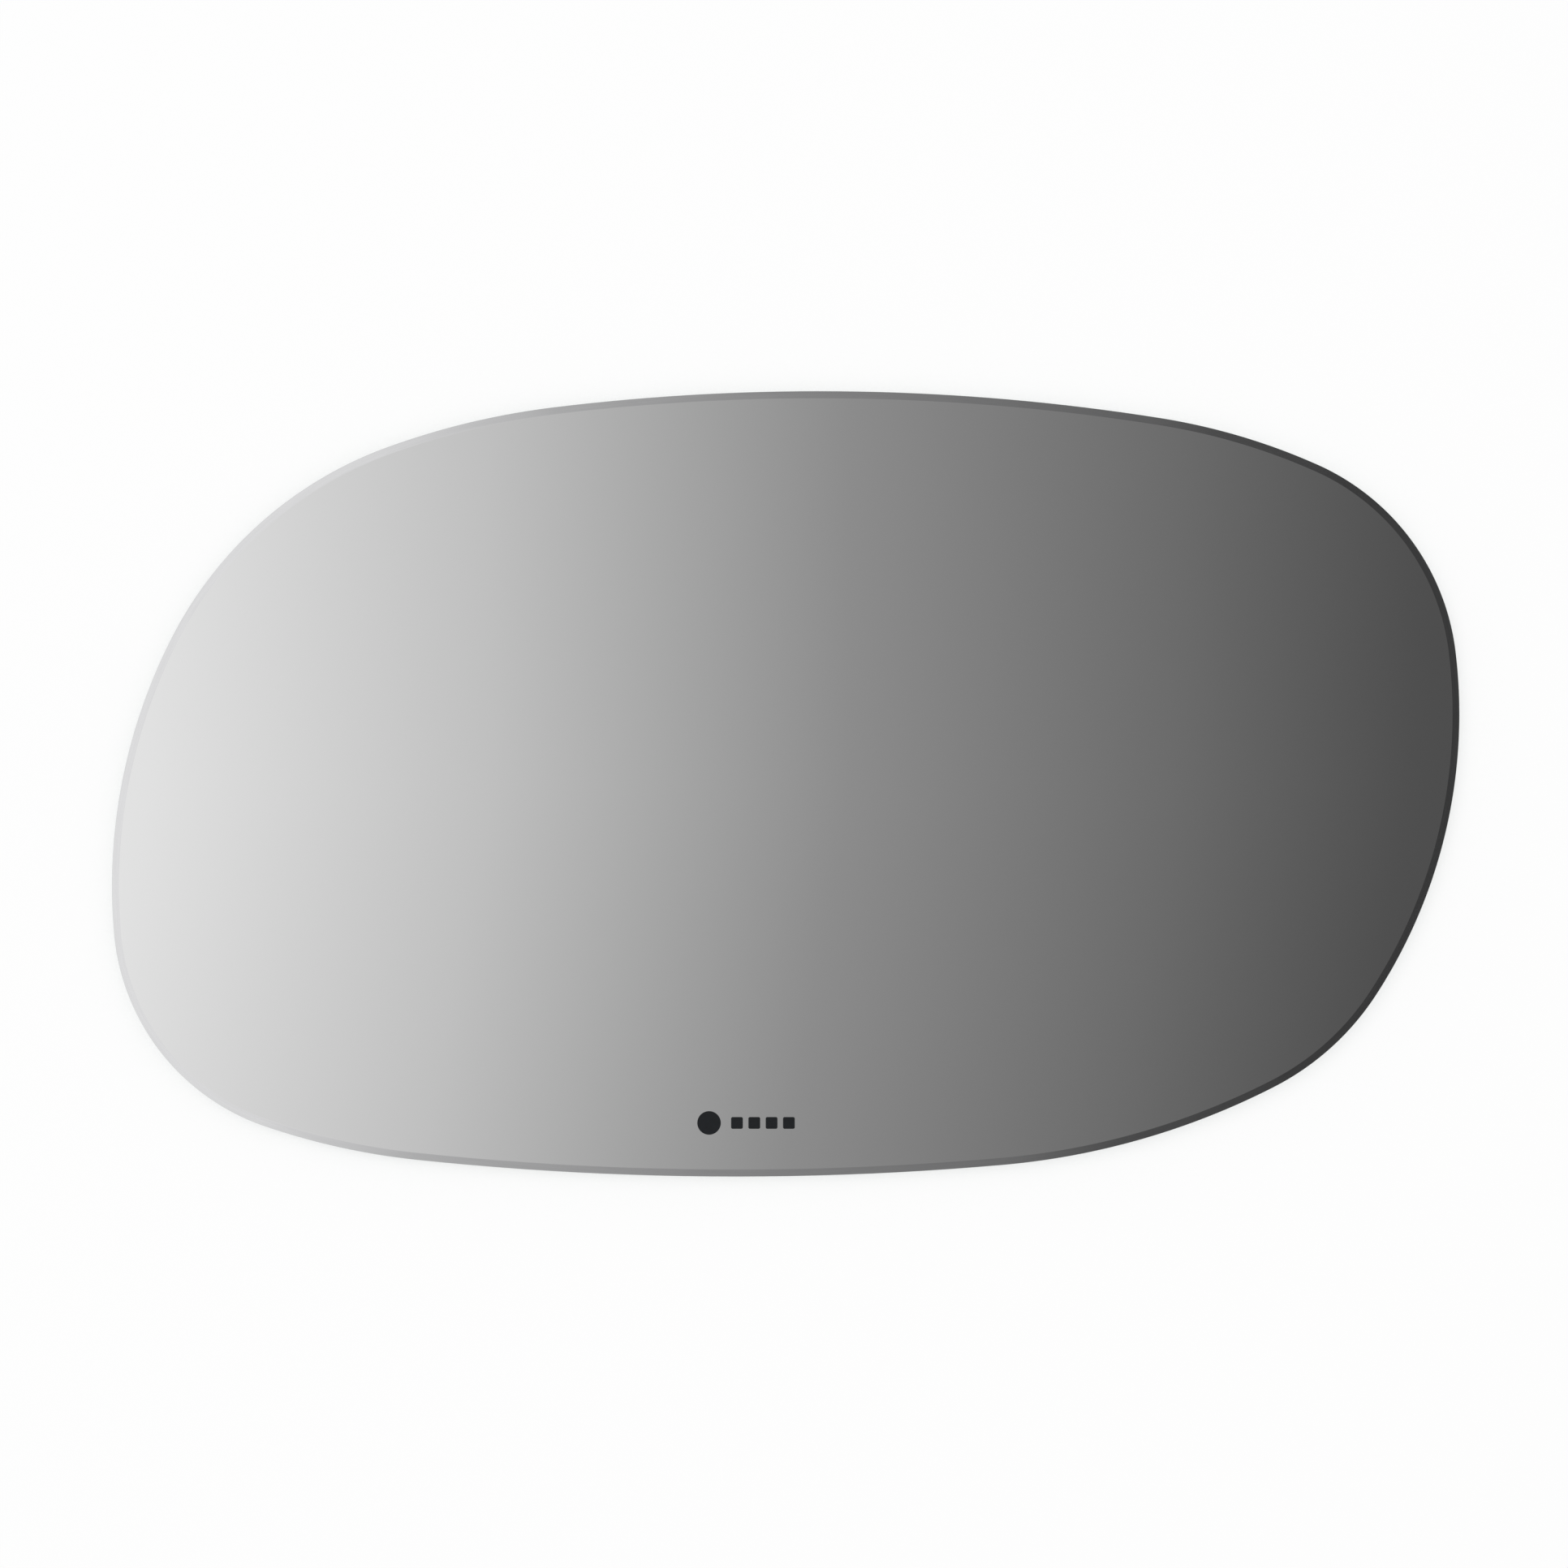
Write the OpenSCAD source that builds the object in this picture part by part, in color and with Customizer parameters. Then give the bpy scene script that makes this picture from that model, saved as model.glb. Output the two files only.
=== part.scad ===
// Replacement glass for a car's door mirror. It lies on its back with the mirror face up:
// X runs across the glass, Y up it and Z through its thickness, and the origin is under
// the middle of the glass, on its back face.
// The outline is twelve arcs that run into each other with no corner between them. Each
// of the four sides is one long arc, each corner is one short arc, and at both ends of
// the top and of the bottom a shoulder arc eases the side into the corner.

/* [Glass] */
// Overall width of the glass
glass_w = 171.5; // [165:0.5:178]
// Overall height of the glass
glass_h = 100; // [96:0.5:104]
// Thickness of the glass
glass_t = 2.2; // [1.8:0.1:3]

/* [Ground edge] */
// Width, across the face, of the seam ground off each sharp edge, front and back
seam_w = 0.95; // [0.3:0.05:1.2]
// Depth of the seams through the thickness: what is left between them is the ground land
seam_d = 0.5; // [0.2:0.05:0.8]

/* [Outline] */
// Radii of the corners: upper right, upper left, lower left, lower right
corner_r = [30, 50, 28.5, 34]; // [26:0.5:52]
// Radii of the shoulders: top right, top left, bottom left, bottom right
shoulder_r = [80, 96, 88, 94]; // [76:1:100]

/* [Hidden] */

// Directions that the outline faces where each arc begins, in degrees anticlockwise from
// the right: upper right corner, shoulder, top, shoulder, upper left corner, left side,
// lower left corner, shoulder, bottom, shoulder, lower right corner and right side
arc_from = [7, 66, 81, 97, 110, 153, 185, 251, 264, 275, 297, 327];
arc_nos = [0:len(arc_from) - 1];
right_arc = 11;
top_arc = 2;
left_arc = 5;
bottom_arc = 8;
side_arcs = [right_arc, top_arc, left_arc, bottom_arc];

// First guess at the radii of the four sides, and the rounds that settle them
side_guess = [66, 280, 70, 390];
settle_rounds = 60;

// Width of the rim that is swept along the outline, and how far inside the outline the
// plate between the arcs has its corners, so that its straight sides end in the rim
rim_w = 18;
plate_in = 6;
sweep_fn = 360;

function sum(v, i = 0) = i < len(v) ? v[i] + sum(v, i + 1) : 0;
function facing(a) = [cos(a), sin(a)];
function arc_to(i) = i + 1 < len(arc_from) ? arc_from[i + 1] : arc_from[0] + 360;

// Radii of all twelve arcs, in order, from those of the four sides
function arc_radii(sides) = [
    corner_r[0], shoulder_r[0], sides[1], shoulder_r[1],
    corner_r[1], sides[2], corner_r[2], shoulder_r[2],
    sides[3], shoulder_r[3], corner_r[3], sides[0]];

// How far arc i carries the outline past the side that faces d, for each millimetre of
// its radius: only its stretch that faces within a quarter turn of d counts
function carry(i, d) = sum([
    for (turn = [-360, 0])
        let (a = max(arc_from[i] + turn, d - 90), b = min(arc_to(i) + turn, d + 90))
            if (b > a) sin(b - d) - sin(a - d)]);
function length_past(radii, d) = sum([for (i = arc_nos) radii[i] * carry(i, d)]);

// The outline closes at the stated size when its halves that face right and left are as
// high as the glass and its halves that face up and down are as wide. Each round mends
// the radius of each side by what its own half is short.
function settled(sides, rounds) = rounds == 0 ? sides : settled([
    for (k = [0:3])
        let (d = 90 * k, wanted = k % 2 == 0 ? glass_h : glass_w)
            sides[k] + (wanted - length_past(arc_radii(sides), d)) / carry(side_arcs[k], d)
    ], rounds - 1);
radii = arc_radii(settled(side_guess, settle_rounds));

// Neighbouring arcs are tangent, so both centres lie on the line that their joint faces
// along. The first centre is put at zero, and then all move to middle the outline.
function loose_centre(i) = i == 0 ? [0, 0]
    : loose_centre(i - 1) + (radii[i - 1] - radii[i]) * facing(arc_from[i]);
middling = [
    glass_w / 2 - radii[right_arc] - loose_centre(right_arc).x,
    glass_h / 2 - radii[top_arc] - loose_centre(top_arc).y];
centres = [for (i = arc_nos) loose_centre(i) + middling];

// Moves its child to p in a coarse step and then a fine one, so that no digit of p is
// lost and the arcs stay tangent to a millionth of a millimetre
function coarse(x) = floor(x * 1000) / 1000;
module at(p) {
    step = [coarse(p.x), coarse(p.y)];
    translate(step) translate(p - step) children();
}

// Section of the rim, with the ground land standing upright between the two seams
module rim_section()
    polygon([
        [0, 0], [rim_w - seam_w, 0], [rim_w, seam_d],
        [rim_w, glass_t - seam_d], [rim_w - seam_w, glass_t], [0, glass_t]]);

module rim_arc(i)
    at(centres[i])
        rotate_extrude(angle = arc_to(i) - arc_from[i], start = arc_from[i], $fn = sweep_fn)
            at([radii[i] - rim_w, 0]) rim_section();

module plate()
    linear_extrude(glass_t)
        polygon([for (i = arc_nos) centres[i] + (radii[i] - plate_in) * facing(arc_from[i])]);

module mirror_glass()
    color("silver") {
        plate();
        for (i = arc_nos) rim_arc(i);
    }

mirror_glass();
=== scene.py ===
from math import cos, degrees, pi, radians, sin, sqrt

import bmesh
import bpy
from mathutils import Matrix, Vector


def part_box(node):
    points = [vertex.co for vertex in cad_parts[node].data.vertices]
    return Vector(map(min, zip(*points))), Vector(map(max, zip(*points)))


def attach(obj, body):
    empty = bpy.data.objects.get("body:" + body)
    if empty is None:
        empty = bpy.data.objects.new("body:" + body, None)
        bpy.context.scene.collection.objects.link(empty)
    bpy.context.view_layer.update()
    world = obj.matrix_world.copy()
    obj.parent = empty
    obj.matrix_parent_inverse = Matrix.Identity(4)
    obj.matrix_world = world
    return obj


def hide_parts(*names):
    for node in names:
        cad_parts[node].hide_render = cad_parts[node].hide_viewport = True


# The glass of a car's door mirror. It lies on its painted back on a white floor, and the
# camera looks straight down on it.

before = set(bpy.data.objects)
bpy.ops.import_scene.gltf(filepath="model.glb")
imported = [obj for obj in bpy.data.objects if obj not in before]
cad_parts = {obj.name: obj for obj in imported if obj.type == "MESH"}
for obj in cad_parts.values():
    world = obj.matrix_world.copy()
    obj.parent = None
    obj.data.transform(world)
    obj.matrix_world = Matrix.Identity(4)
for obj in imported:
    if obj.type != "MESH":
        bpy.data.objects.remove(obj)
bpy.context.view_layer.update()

mm = 0.001
glassLow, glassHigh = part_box("mirror_glass")
glassSize = glassHigh - glassLow
glassMiddle = (glassLow + glassHigh) / 2

noiseLow, noiseHigh = 0.3, 0.7  # a noise texture seldom goes outside these
nodeSpacing = 220  # from one node to the next in the node editor
colourMix = {"data_type": "RGBA"}  # its share is socket 0, its colours 6 and 7, the mix output 2


def linearColour(hexCode):  # "#RRGGBB" as a screen shows it, to the linear colour of a socket
    channels = [int(hexCode[i:i + 2], 16) / 255 for i in (1, 3, 5)]
    return [c / 12.92 if c <= 0.04045 else ((c + 0.055) / 1.055) ** 2.4 for c in channels] + [1]


def addNode(tree, kind, settings=None, inputs=None):
    node = tree.nodes.new(kind)
    node.location = (nodeSpacing * len(tree.nodes), 0)
    for name, value in (settings or {}).items():
        setattr(node, name, value)
    for name, value in (inputs or {}).items():
        if isinstance(value, bpy.types.NodeSocket):
            tree.links.new(value, node.inputs[name])
        else:
            node.inputs[name].default_value = value
    return node


def newMaterial(name, sockets):  # a Principled material with plain values on its own sockets
    material = bpy.data.materials.new(name)
    material.use_nodes = True
    shader = material.node_tree.nodes["Principled BSDF"]
    for socket, value in sockets.items():
        shader.inputs[socket].default_value = value
    return material, material.node_tree, shader


def newPiece(name, bm, materials):  # the object stays at the origin, and its place is in its mesh
    mesh = bpy.data.meshes.new(name)
    bm.to_mesh(mesh)
    bm.free()
    for material in materials:
        mesh.materials.append(material)
    piece = bpy.data.objects.new(name, mesh)
    bpy.context.scene.collection.objects.link(piece)
    return piece


# The glass. Its outline is worked out as the solid's is: twelve tangent arcs, and the four
# sides settle at the radii that close it at the solid's width and height.

glass = {
    # Outline: the direction that it faces where each arc begins, anticlockwise from the
    # upper right corner
    "arcStarts": (7, 66, 81, 97, 110, 153, 185, 251, 264, 275, 297, 327),  # degrees
    "cornerRadii": (30, 50, 28.5, 34),  # mm: upper right, upper left, lower left, lower right
    "shoulderRadii": (80, 96, 88, 94),  # mm: top right, top left, bottom left, bottom right
    "sideGuess": (66, 280, 70, 390),  # mm: right, top, left, bottom
    "settleRounds": 60,
    "stepDegrees": 0.5,  # of an arc, from one point of it to the next
    "mergeWithin": 0.001,  # mm: nearer points are one, where the last arc meets the first
    # Edge
    "seamWidth": 0.95, "seamDepth": 0.5,  # mm
    "sharpFrom": 20,  # degrees: an edge that turns by more than this is softened
    "softening": 0.03, "softeningSteps": 3,  # mm: rounding that is left on each ground edge
    "flatWithin": 1, "silverWithin": 53,  # degrees of tilt: the mirror face, and the front seam
    "inkFilm": 0.02,  # mm: the face is set down by this, so that the print ends at full height
    # Mirror face
    "silver": "#EAEAEA",
    "waveLength": 40, "waveHeight": 0.004,  # mm: the faint wave of float glass
    "hazeSize": 12,  # mm: patches left where it was wiped
    "cleanRoughness": 0.01, "hazyRoughness": 0.03,
    # Front seam, with silver under it, and ground finer than the rest
    "seamDark": "#D7D7D8", "seamLight": "#E2E2E3",
    "seamSmoothest": 0.05, "seamRoughest": 0.12,  # roughness
    "seamScratchDepth": 0.0015,  # mm
    # Land and back seam: bare ground glass, green in its depth
    "landDark": "#A6B6AF", "landLight": "#D8E1DD",
    "landRoughness": 0.62, "nickRoughness": 0.38,
    "scratchSpacing": 0.12, "scratchLength": 6, "scratchDepth": 0.003,  # mm: left by the wheel
    "nickSize": 0.35, "nickDepth": 0.016,  # mm: tiny chips along the ground edges
    # Back
    "paintDark": "#5C6163", "paintLight": "#6B7072",
    "cloudSize": 30,  # mm: slow change of shade as the coat dried
    "peelSize": 1.6, "peelHeight": 0.012,  # mm: the orange peel of a flow coat
}
glassIor = 1.52  # soda-lime glass
mirrorTop = glassHigh.z - glass["inkFilm"] * mm


def silveredFloatGlass():
    # Float glass, silvered behind and polished by the bath it was cast on: the reflection
    # is clear and sharp, a little darker than what it shows
    material, tree, shader = newMaterial("silveredFloatGlass", {
        "Base Color": linearColour(glass["silver"]), "Metallic": 1,
        "Coat Weight": 1, "Coat Roughness": 0, "Coat IOR": glassIor})
    place = addNode(tree, "ShaderNodeTexCoord").outputs["Object"]
    wave = addNode(tree, "ShaderNodeTexNoise", inputs={
        "Vector": place, "Scale": 1 / (glass["waveLength"] * mm), "Detail": 1})
    bump = addNode(tree, "ShaderNodeBump", inputs={
        "Height": wave.outputs["Fac"], "Distance": glass["waveHeight"] * mm})
    haze = addNode(tree, "ShaderNodeTexNoise", inputs={
        "Vector": place, "Scale": 1 / (glass["hazeSize"] * mm), "Detail": 4})
    roughness = addNode(tree, "ShaderNodeMapRange", inputs={
        "Value": haze.outputs["Fac"], "From Min": noiseLow, "From Max": noiseHigh,
        "To Min": glass["cleanRoughness"], "To Max": glass["hazyRoughness"]})
    tree.links.new(roughness.outputs["Result"], shader.inputs["Roughness"])
    tree.links.new(bump.outputs["Normal"], shader.inputs["Normal"])
    tree.links.new(bump.outputs["Normal"], shader.inputs["Coat Normal"])
    return material


def wheelScratches(tree, place):
    # The wheel runs along the edge, so its scratches lie level, all round the glass: the
    # noise is long across X and Y and fine up Z
    along = 1 / (glass["scratchLength"] * mm)
    up = 1 / (glass["scratchSpacing"] * mm)
    stretched = addNode(tree, "ShaderNodeMapping", inputs={
        "Vector": place, "Scale": (along, along, up)})
    scratches = addNode(tree, "ShaderNodeTexNoise", inputs={
        "Vector": stretched.outputs["Vector"], "Scale": 1, "Detail": 3, "Roughness": 0.6})
    return scratches.outputs["Fac"]


def seamedGlass():
    # The front seam, ground fine with the silver still showing through it: it answers the
    # light as the face does, only softer and darker
    material, tree, shader = newMaterial("seamedGlass", {"Metallic": 1})
    scratches = wheelScratches(tree, addNode(tree, "ShaderNodeTexCoord").outputs["Object"])
    colour = addNode(tree, "ShaderNodeMix", colourMix, {
        0: scratches, 6: linearColour(glass["seamDark"]), 7: linearColour(glass["seamLight"])})
    roughness = addNode(tree, "ShaderNodeMapRange", inputs={
        "Value": scratches, "To Min": glass["seamSmoothest"], "To Max": glass["seamRoughest"]})
    bump = addNode(tree, "ShaderNodeBump", inputs={
        "Height": scratches, "Distance": glass["seamScratchDepth"] * mm})
    tree.links.new(colour.outputs[2], shader.inputs["Base Color"])
    tree.links.new(roughness.outputs["Result"], shader.inputs["Roughness"])
    tree.links.new(bump.outputs["Normal"], shader.inputs["Normal"])
    return material


def groundGlass():
    # The land and the back seam, ground with a diamond wheel: frosted, pale green, with
    # level scratches and small bright nicks
    material, tree, shader = newMaterial("groundGlass", {"IOR": glassIor})
    place = addNode(tree, "ShaderNodeTexCoord").outputs["Object"]
    scratches = wheelScratches(tree, place)
    nicks = addNode(tree, "ShaderNodeTexNoise", inputs={
        "Vector": place, "Scale": 1 / (glass["nickSize"] * mm), "Detail": 2}).outputs["Fac"]
    colour = addNode(tree, "ShaderNodeMix", colourMix, {
        0: scratches, 6: linearColour(glass["landDark"]), 7: linearColour(glass["landLight"])})
    roughness = addNode(tree, "ShaderNodeMapRange", inputs={
        "Value": nicks, "From Min": noiseLow, "From Max": noiseHigh,
        "To Min": glass["landRoughness"], "To Max": glass["nickRoughness"]})
    height = addNode(tree, "ShaderNodeMath", {"operation": "MULTIPLY_ADD"}, {
        0: nicks, 1: glass["nickDepth"] / glass["scratchDepth"], 2: scratches})
    bump = addNode(tree, "ShaderNodeBump", inputs={
        "Height": height.outputs[0], "Distance": glass["scratchDepth"] * mm})
    tree.links.new(colour.outputs[2], shader.inputs["Base Color"])
    tree.links.new(roughness.outputs["Result"], shader.inputs["Roughness"])
    tree.links.new(bump.outputs["Normal"], shader.inputs["Normal"])
    return material


def mirrorBackPaint():
    # Mirror backing paint, flow coated over the silver and baked: a dense mid grey, satin,
    # with a slight orange peel
    material, tree, shader = newMaterial("mirrorBackPaint", {"IOR": 1.5, "Roughness": 0.45})
    place = addNode(tree, "ShaderNodeTexCoord").outputs["Object"]
    cloud = addNode(tree, "ShaderNodeTexNoise", inputs={
        "Vector": place, "Scale": 1 / (glass["cloudSize"] * mm), "Detail": 3})
    colour = addNode(tree, "ShaderNodeMix", colourMix, {
        0: cloud.outputs["Fac"],
        6: linearColour(glass["paintDark"]), 7: linearColour(glass["paintLight"])})
    peel = addNode(tree, "ShaderNodeTexNoise", inputs={
        "Vector": place, "Scale": 1 / (glass["peelSize"] * mm), "Detail": 2})
    bump = addNode(tree, "ShaderNodeBump", inputs={
        "Height": peel.outputs["Fac"], "Distance": glass["peelHeight"] * mm})
    tree.links.new(colour.outputs[2], shader.inputs["Base Color"])
    tree.links.new(bump.outputs["Normal"], shader.inputs["Normal"])
    return material


starts = glass["arcStarts"]
arcSpans = list(zip(starts, starts[1:] + (starts[0] + 360,)))
sideArcs = (11, 2, 5, 8)  # which arcs are the right, top, left and bottom side
rightArc, topArc = sideArcs[:2]


def facing(angle):
    return Vector((cos(radians(angle)), sin(radians(angle)), 0))


def arcRadii(sides):  # radii of all twelve arcs, in order
    upperRight, upperLeft, lowerLeft, lowerRight = glass["cornerRadii"]
    topRight, topLeft, bottomLeft, bottomRight = glass["shoulderRadii"]
    right, top, left, bottom = sides
    return [
        upperRight, topRight, top, topLeft, upperLeft, left,
        lowerLeft, bottomLeft, bottom, bottomRight, lowerRight, right]


def carry(span, side):  # how far an arc of radius 1 carries the outline past that side
    total = 0
    for turn in (-360, 0):
        begin = max(span[0] + turn, side - 90)
        end = min(span[1] + turn, side + 90)
        if end > begin:
            total += sin(radians(end - side)) - sin(radians(begin - side))
    return total


def settledRadii():  # each round mends every side's radius by what its half of the outline lacks
    sides = list(glass["sideGuess"])
    for _ in range(glass["settleRounds"]):
        radii = arcRadii(sides)
        for k, arc in enumerate(sideArcs):
            wanted = (glassSize.x if k % 2 else glassSize.y) / mm
            past = sum(radius * carry(span, 90 * k) for radius, span in zip(radii, arcSpans))
            sides[k] += (wanted - past) / carry(arcSpans[arc], 90 * k)
    return [radius * mm for radius in arcRadii(sides)]


def arcCentres(radii):  # tangent arcs have both centres on the line that their joint faces along
    centres = [Vector()]
    for before, after, span in zip(radii, radii[1:], arcSpans[1:]):
        centres.append(centres[-1] + (before - after) * facing(span[0]))
    right = centres[rightArc].x + radii[rightArc]
    top = centres[topArc].y + radii[topArc]
    shift = Vector((glassHigh.x - right, glassHigh.y - top, 0))
    return [centre + shift for centre in centres]


def spinEdge(bm, radii, centres):  # the section of the edge runs round each arc in turn
    width, depth = glass["seamWidth"] * mm, glass["seamDepth"] * mm
    section = [
        (-width, mirrorTop), (0, mirrorTop - depth),
        (0, glassLow.z + depth), (-width, glassLow.z)]
    start = facing(arcSpans[0][0])
    verts = [
        bm.verts.new(centres[0] + (radii[0] + outward) * start + Vector((0, 0, height)))
        for outward, height in section]
    chain = verts + [bm.edges.new(pair) for pair in zip(verts, verts[1:])]
    for centre, (begin, end) in zip(centres, arcSpans):
        chain = bmesh.ops.spin(
            bm, geom=chain, cent=centre, axis=(0, 0, 1), angle=radians(end - begin),
            steps=round((end - begin) / glass["stepDegrees"]))["geom_last"]
    bmesh.ops.remove_doubles(bm, verts=bm.verts, dist=glass["mergeWithin"] * mm)


def softenEdges(bm):
    sharp = [e for e in bm.edges if e.calc_face_angle(0) > radians(glass["sharpFrom"])]
    rounding = set(bmesh.ops.bevel(
        bm, geom=sharp, affect="EDGES", offset=glass["softening"] * mm,
        segments=glass["softeningSteps"], profile=0.5, material=-1)["faces"])
    for edge in bm.edges:  # no shading runs over from the rounding, so the rest looks flat
        edge.smooth = len({face in rounding for face in edge.link_faces}) == 1


def finishFaces(bm):  # by tilt, from facing up: mirror face, front seam, ground edge and back
    limits = (glass["flatWithin"], glass["silverWithin"], 180 - glass["flatWithin"])
    for face in bm.faces:
        face.smooth = True
        tilt = degrees(face.normal.angle((0, 0, 1)))
        face.material_index = sum(tilt >= limit for limit in limits)


def buildGlass():
    radii = settledRadii()
    bm = bmesh.new()
    spinEdge(bm, radii, arcCentres(radii))
    bmesh.ops.edgeloop_fill(bm, edges=[e for e in bm.edges if e.is_boundary])
    bmesh.ops.recalc_face_normals(bm, faces=bm.faces)
    softenEdges(bm)
    finishFaces(bm)
    piece = newPiece("glass", bm, [
        silveredFloatGlass(), seamedGlass(), groundGlass(), mirrorBackPaint()])
    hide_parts("mirror_glass")
    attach(piece, "root")
    print("glass:", len(piece.data.polygons), "faces, sides of",
          [round(radii[arc] / mm, 2) for arc in sideArcs], "mm")


# The printed mark: a plain dot and a row of small squares, near the lower edge

mark = {
    "height": -43.1,  # mm up from the middle of the glass
    "dotAcross": -9.75, "dotDiameter": 3, "dotSides": 64,  # mm
    "firstSquare": -6.2, "pitch": 2.2, "squares": 4, "squareSide": 1.5,  # mm
    "squareCorner": 0.2, "cornerSteps": 4,  # mm
    "sunk": 0.01,  # mm: how far the film reaches into the face
    "inkDark": "#0A0E12", "inkLight": "#12171C",
    "mottleSize": 0.5, "mottleHeight": 0.005,  # mm: uneven lay of the ink
}


def screenInk():
    # Screen ink for glass, printed and stoved: near black with a little blue, satin, and a
    # touch uneven where it was pressed through the mesh
    material, tree, shader = newMaterial("screenInk", {"IOR": 1.4, "Roughness": 0.5})
    place = addNode(tree, "ShaderNodeTexCoord").outputs["Object"]
    mottle = addNode(tree, "ShaderNodeTexNoise", inputs={
        "Vector": place, "Scale": 1 / (mark["mottleSize"] * mm), "Detail": 3})
    colour = addNode(tree, "ShaderNodeMix", colourMix, {
        0: mottle.outputs["Fac"],
        6: linearColour(mark["inkDark"]), 7: linearColour(mark["inkLight"])})
    bump = addNode(tree, "ShaderNodeBump", inputs={
        "Height": mottle.outputs["Fac"], "Distance": mark["mottleHeight"] * mm})
    tree.links.new(colour.outputs[2], shader.inputs["Base Color"])
    tree.links.new(bump.outputs["Normal"], shader.inputs["Normal"])
    return material


def buildMark():
    bm = bmesh.new()
    bottom = mirrorTop - mark["sunk"] * mm

    def spot(across):
        return Matrix.Translation((
            glassMiddle.x + across * mm, glassMiddle.y + mark["height"] * mm, bottom))

    bmesh.ops.create_circle(
        bm, cap_ends=True, segments=mark["dotSides"], radius=mark["dotDiameter"] / 2 * mm,
        matrix=spot(mark["dotAcross"]))
    for n in range(mark["squares"]):
        square = bmesh.ops.create_circle(
            bm, cap_ends=True, segments=4, radius=mark["squareSide"] / sqrt(2) * mm,
            matrix=spot(mark["firstSquare"] + n * mark["pitch"]) @ Matrix.Rotation(pi / 4, 4, "Z"))
        bmesh.ops.bevel(
            bm, geom=square["verts"], affect="VERTICES", offset=mark["squareCorner"] * mm,
            segments=mark["cornerSteps"], profile=0.5, material=-1)
    tops = bmesh.ops.extrude_discrete_faces(bm, faces=bm.faces[:])["faces"]
    bmesh.ops.translate(
        bm, verts=[v for top in tops for v in top.verts], vec=(0, 0, glassHigh.z - bottom))
    bmesh.ops.edgeloop_fill(bm, edges=[e for e in bm.edges if e.is_boundary])
    bmesh.ops.recalc_face_normals(bm, faces=bm.faces)
    piece = newPiece("printed_mark", bm, [screenInk()])
    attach(piece, "root")
    print("printed mark:", len(piece.data.polygons), "faces")


# The camera, straight above

photo = {
    "side": 1932,  # pixels along each side of the square photograph
    "glassLeft": 137.9, "glassRight": 1798.4,  # pixel columns where the glass begins and ends
    "glassTop": 482.7, "glassBottom": 1449,  # and its pixel rows
    "lens": 85, "sensor": 36,  # mm: a portrait lens keeps the outline free of perspective
    "clipStart": 10,  # mm
}


def aimCamera():
    pixel = glassSize.x / (photo["glassRight"] - photo["glassLeft"])  # at the widest of the glass
    widest = glassHigh.z - glass["seamDepth"] * mm
    # pixels from the middle of the glass to the middle of the photograph
    right = (photo["side"] - photo["glassLeft"] - photo["glassRight"]) / 2
    up = (photo["glassTop"] + photo["glassBottom"] - photo["side"]) / 2
    lens = bpy.data.cameras.new("camera")
    lens.lens = photo["lens"]
    lens.sensor_width = photo["sensor"]
    lens.clip_start = photo["clipStart"] * mm
    camera = bpy.data.objects.new("camera", lens)  # a new camera looks straight down, with +Y up
    camera.location = (
        glassMiddle.x + right * pixel,
        glassMiddle.y + up * pixel,
        widest + photo["side"] * pixel * photo["lens"] / photo["sensor"])
    bpy.context.scene.collection.objects.link(camera)
    bpy.context.scene.camera = camera
    print("camera:", round((camera.location.z - widest) / mm), "mm above the glass")


# The studio: a white floor, even white light, and something for the mirror to show. That is
# a great card overhead, from white on the left to dark grey on the right, and a pale wall
# round the horizon.

studio = {
    "floorSize": 6,  # m
    "floorDrop": 0.02,  # mm: it lies just clear of the glass
    "floorWhite": "#FDFDFD",
    "floorLift": 0.6,  # share of the floor that shows as plain white, to thin the shadow on it
    "fill": 0.88,  # light from all round
    "lampPower": 13.7, "lampSize": 2, "lampPlace": (-1.4, 1.2, 2.4),  # W, m and m
    "cardTones": (  # place across the card, and grey on a screen
        (-2.4, 1), (-0.95, 0.96), (-0.45, 0.81), (0.1, 0.592),
        (0.6, 0.455), (0.95, 0.34), (1.6, 0.27), (2.6, 0.25)),
    "cardHalf": 0.174,  # sine of the tilt that reaches one unit across, straight overhead
    "cardSpread": 0.337,  # how much wider the card grows as it slopes down
    "cardSlant": 0.074,  # how far it swings to the left as it slopes down
    "cardShift": 0.0165,  # how far its near part is moved to the left
    "shiftTilt": 0.1,  # sine of the tilt to the front at which it is moved in full
    "wallFrom": 25, "wallFull": 9,  # degrees above the horizon: the card fades into the wall
    "wallTone": 0.8,  # grey on a screen
}


def mattWhitePaper():
    # A roll of white backdrop paper: matt, with no gloss at all
    material, tree, shader = newMaterial("mattWhitePaper", {
        "Base Color": linearColour(studio["floorWhite"]), "Roughness": 1, "Specular IOR Level": 0})
    path = addNode(tree, "ShaderNodeLightPath")
    looked = addNode(tree, "ShaderNodeMath", {"operation": "MAXIMUM"}, {
        0: path.outputs["Is Camera Ray"], 1: path.outputs["Is Glossy Ray"]})
    share = addNode(tree, "ShaderNodeMath", {"operation": "MULTIPLY"}, {
        0: looked.outputs[0], 1: studio["floorLift"]})
    white = addNode(tree, "ShaderNodeEmission")
    mixed = addNode(tree, "ShaderNodeMixShader", inputs={
        0: share.outputs[0], 1: shader.outputs[0], 2: white.outputs[0]})
    tree.links.new(mixed.outputs[0], tree.nodes["Material Output"].inputs["Surface"])
    return material


def layFloor():
    bm = bmesh.new()
    bmesh.ops.create_grid(
        bm, size=studio["floorSize"] / 2,
        matrix=Matrix.Translation((0, 0, glassLow.z - studio["floorDrop"] * mm)))
    newPiece("floor", bm, [mattWhitePaper()])


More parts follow.
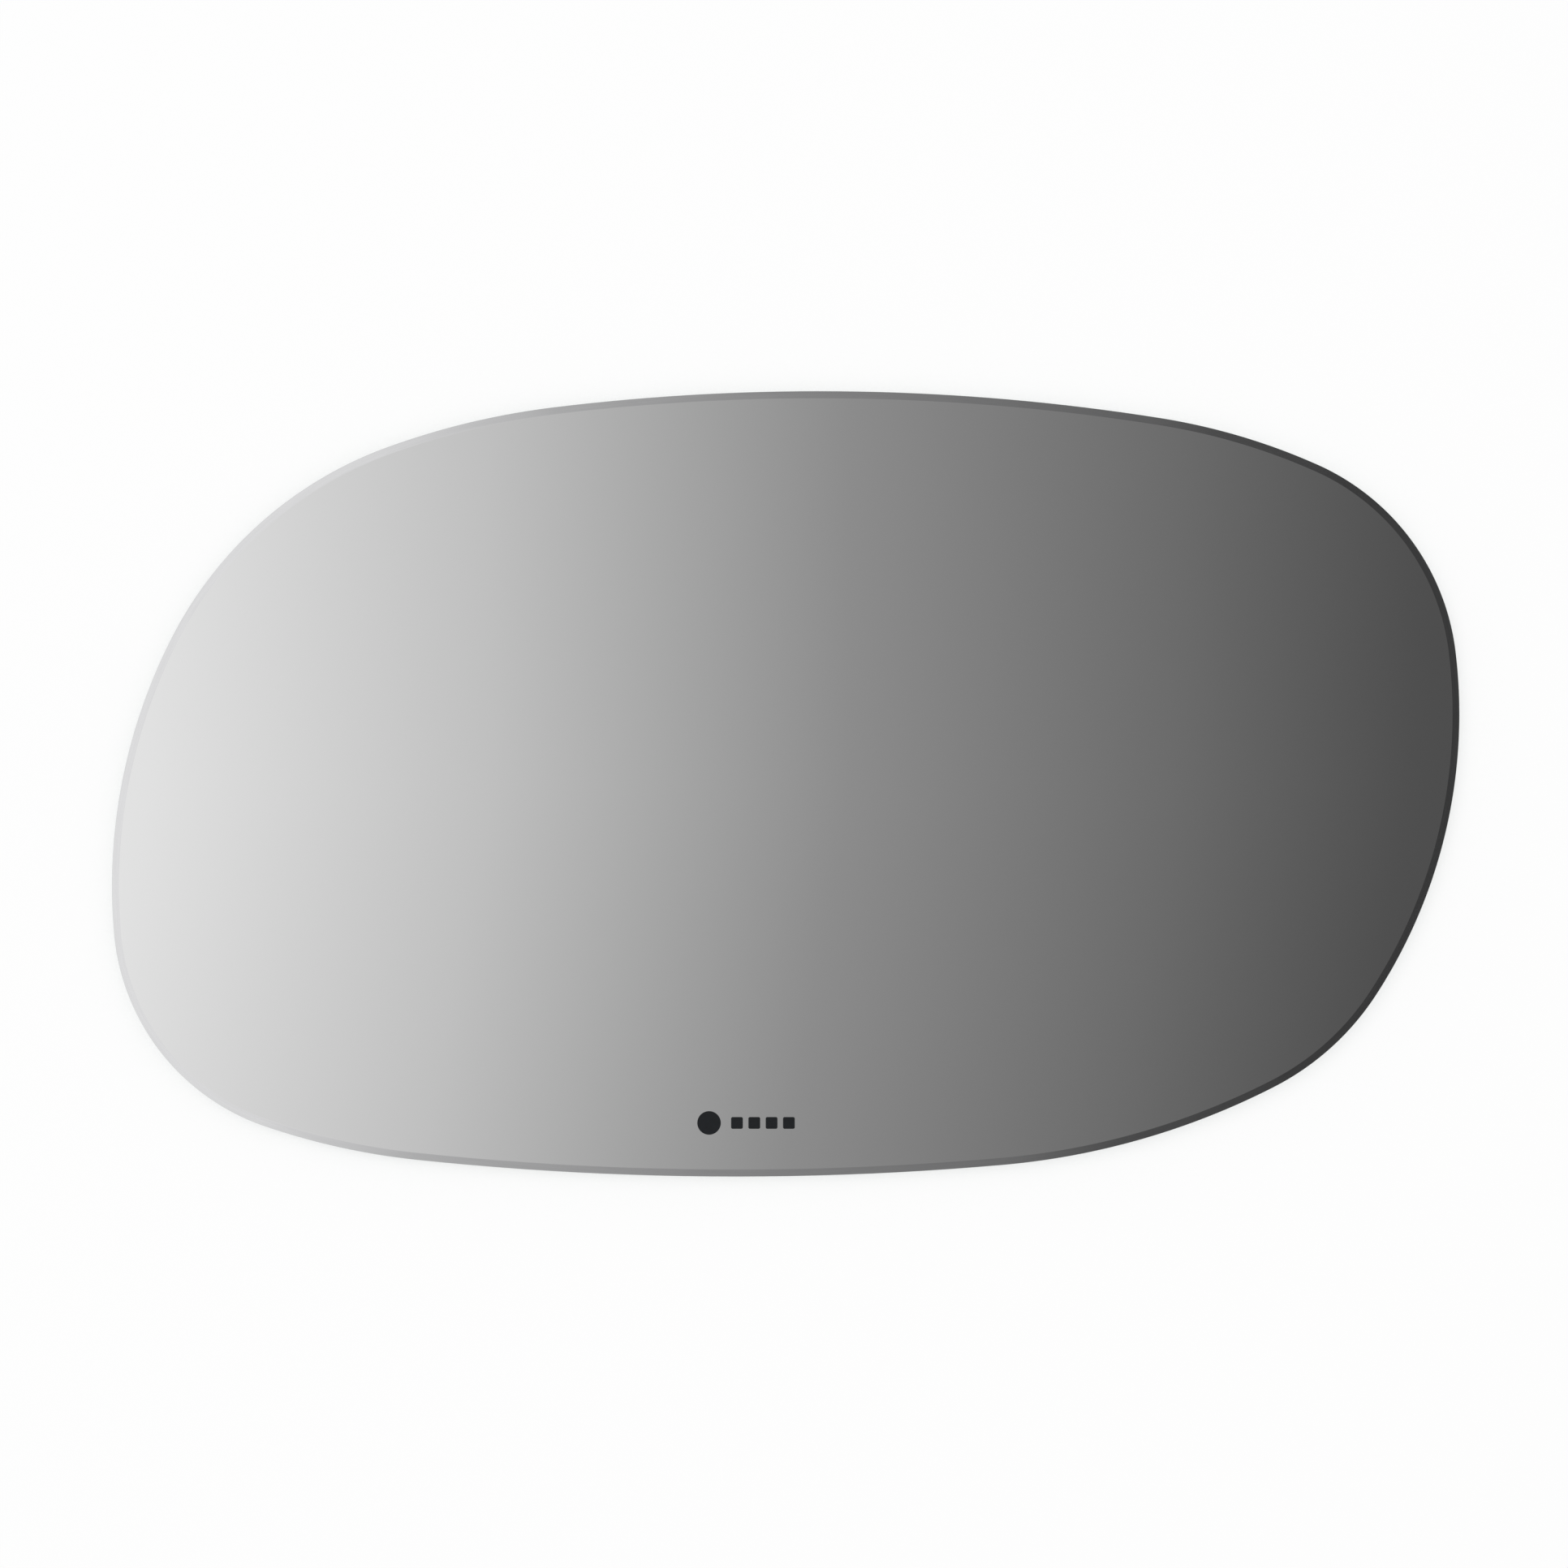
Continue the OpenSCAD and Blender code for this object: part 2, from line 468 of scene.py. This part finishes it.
def hangLamp():
    lamp = bpy.data.lights.new("softbox", "AREA")
    lamp.energy = studio["lampPower"]
    lamp.size = studio["lampSize"]
    softbox = bpy.data.objects.new("softbox", lamp)
    softbox.location = studio["lampPlace"]
    softbox.rotation_euler = Vector(studio["lampPlace"]).to_track_quat("Z", "Y").to_euler()
    softbox.visible_glossy = False  # the mirror shows the card and not the lamp
    bpy.context.scene.collection.objects.link(softbox)


def placeAcross(tree, toSky, down):  # where on the card a direction meets it
    near = addNode(tree, "ShaderNodeMapRange", inputs={
        "Value": toSky.outputs["Y"], "From Min": -studio["shiftTilt"], "From Max": 0,
        "To Min": studio["cardShift"], "To Max": 0})
    shifted = addNode(tree, "ShaderNodeMath", {"operation": "ADD"}, {
        0: toSky.outputs["X"], 1: near.outputs["Result"]})
    swung = addNode(tree, "ShaderNodeMath", {"operation": "MULTIPLY_ADD"}, {
        0: down, 1: studio["cardSlant"], 2: shifted.outputs[0]})
    reach = addNode(tree, "ShaderNodeMath", {"operation": "MULTIPLY_ADD"}, {
        0: down, 1: studio["cardSpread"], 2: studio["cardHalf"]})
    return addNode(tree, "ShaderNodeMath", {"operation": "DIVIDE"}, {
        0: swung.outputs[0], 1: reach.outputs[0]}).outputs[0]


def cardTone(tree, across):  # the grey of the card at that place
    tones = studio["cardTones"]
    first, last = tones[0][0], tones[-1][0]
    along = addNode(tree, "ShaderNodeMapRange", inputs={
        "Value": across, "From Min": first, "From Max": last})
    ramp = addNode(tree, "ShaderNodeValToRGB", inputs={"Fac": along.outputs["Result"]})
    stops = ramp.color_ramp.elements
    stops[0].color = [tones[0][1]] * 3 + [1]
    stops[1].color = [tones[-1][1]] * 3 + [1]
    for place, tone in tones[1:-1]:
        stops.new((place - first) / (last - first)).color = [tone] * 3 + [1]
    return ramp.outputs["Color"]


def shownSky(tree):  # what the mirror shows in each direction: the card, and the wall below it
    # in a world, Generated is the direction in which a ray leaves
    direction = addNode(tree, "ShaderNodeTexCoord").outputs["Generated"]
    toSky = addNode(tree, "ShaderNodeSeparateXYZ", inputs={"Vector": direction})
    down = addNode(tree, "ShaderNodeMath", {"operation": "SUBTRACT"}, {
        0: 1, 1: toSky.outputs["Z"]}).outputs[0]  # 0 overhead, 1 at the horizon
    card = cardTone(tree, placeAcross(tree, toSky, down))
    low = addNode(tree, "ShaderNodeMapRange", {"interpolation_type": "SMOOTHSTEP"}, {
        "Value": down, "From Min": 1 - sin(radians(studio["wallFrom"])),
        "From Max": 1 - sin(radians(studio["wallFull"]))})
    tone = addNode(tree, "ShaderNodeMix", colourMix, {
        0: low.outputs["Result"], 6: card, 7: [studio["wallTone"]] * 3 + [1]})
    linear = addNode(tree, "ShaderNodeGamma", inputs={"Color": tone.outputs[2], "Gamma": 2.2})
    return addNode(tree, "ShaderNodeBackground", inputs={
        "Color": linear.outputs["Color"]}).outputs[0]


def surroundings():
    world = bpy.data.worlds.new("studio")
    bpy.context.scene.world = world
    world.use_nodes = True
    tree = world.node_tree
    tree.nodes.clear()
    fill = addNode(tree, "ShaderNodeBackground", inputs={
        "Color": linearColour("#FFFFFF"), "Strength": studio["fill"]})
    backdrop = addNode(tree, "ShaderNodeBackground", inputs={
        "Color": linearColour(studio["floorWhite"])})
    path = addNode(tree, "ShaderNodeLightPath")
    lit = addNode(tree, "ShaderNodeMixShader", inputs={
        0: path.outputs["Is Glossy Ray"], 1: fill.outputs[0], 2: shownSky(tree)})
    seen = addNode(tree, "ShaderNodeMixShader", inputs={
        0: path.outputs["Is Camera Ray"], 1: lit.outputs[0], 2: backdrop.outputs[0]})
    addNode(tree, "ShaderNodeOutputWorld", inputs={"Surface": seen.outputs[0]})


def lightStudio():
    bpy.context.scene.view_settings.view_transform = "Standard"
    layFloor()
    hangLamp()
    surroundings()
    print("studio: floor, lamp and surroundings")


buildGlass()
buildMark()
aimCamera()
lightStudio()
